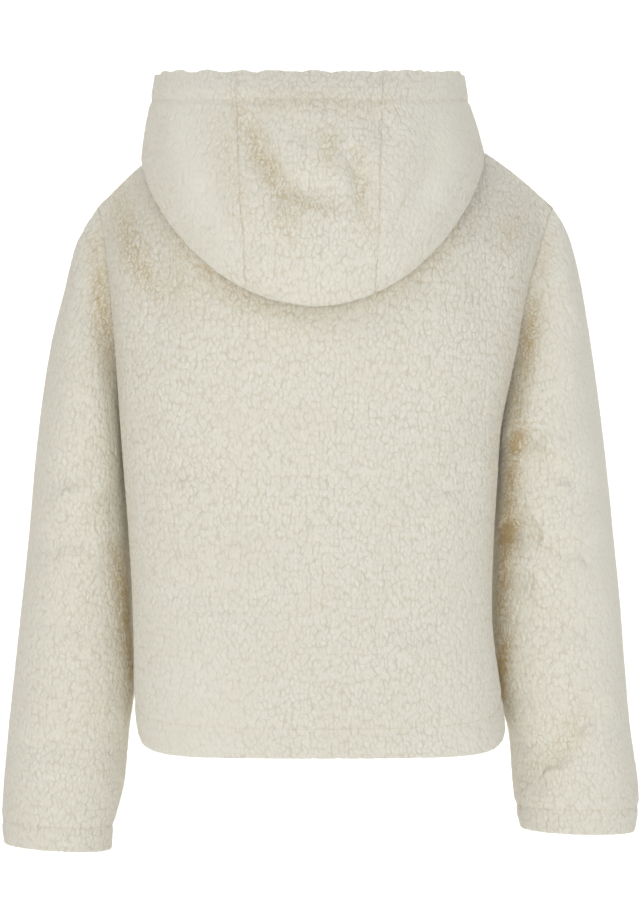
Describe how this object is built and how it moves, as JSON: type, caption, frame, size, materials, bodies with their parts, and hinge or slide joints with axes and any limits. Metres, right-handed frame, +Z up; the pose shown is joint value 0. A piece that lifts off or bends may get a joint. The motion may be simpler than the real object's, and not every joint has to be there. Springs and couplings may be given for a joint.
{
  "type": "hooded sherpa jacket",
  "caption": "Cream hooded sherpa fleece jacket, zipped and filled out as worn, hood down, with turned hem and cuffs.",
  "frame": {"origin": "middle of the neck opening, level with the neck seam at the sides and back, where the wearer's neck and shoulders hold the jacket up", "axes": "+Z up, along the jacket's length; the front and its zip face -Y and the back +Y; the wearer's left is +X"},
  "size_m": [0.6098, 0.3019, 0.7335],
  "materials": {
    "sherpa": "cream polyester sherpa fleece, curly pile on a knitted backing",
    "zip_tape": "woven polyester tape",
    "zip_teeth": "moulded acetal teeth",
    "zip_metal": "plated zinc casting, satin"
  },
  "bodies": {
    "jacket": {"back_panel": "sherpa", "front_left": "sherpa", "front_right": "sherpa", "sleeve_left": "sherpa", "sleeve_right": "sherpa", "hood_left": "sherpa", "hood_centre": "sherpa", "hood_right": "sherpa", "zip_tape_left": "zip_tape", "zip_tape_right": "zip_tape", "zip_chain": "zip_teeth", "zip_box": "zip_metal", "zip_slider": "zip_metal"},
    "pull_tab": {"zip_pull_tab": "zip_metal"}
  },
  "joints": [
    {"name": "pull_tab_hinge", "type": "hinge", "parent": "jacket", "child": "pull_tab", "pos_m": [0, -0.08274, -0.08023], "axis": [-1, 0, 0], "range_deg": [0, 150]}
  ]
}
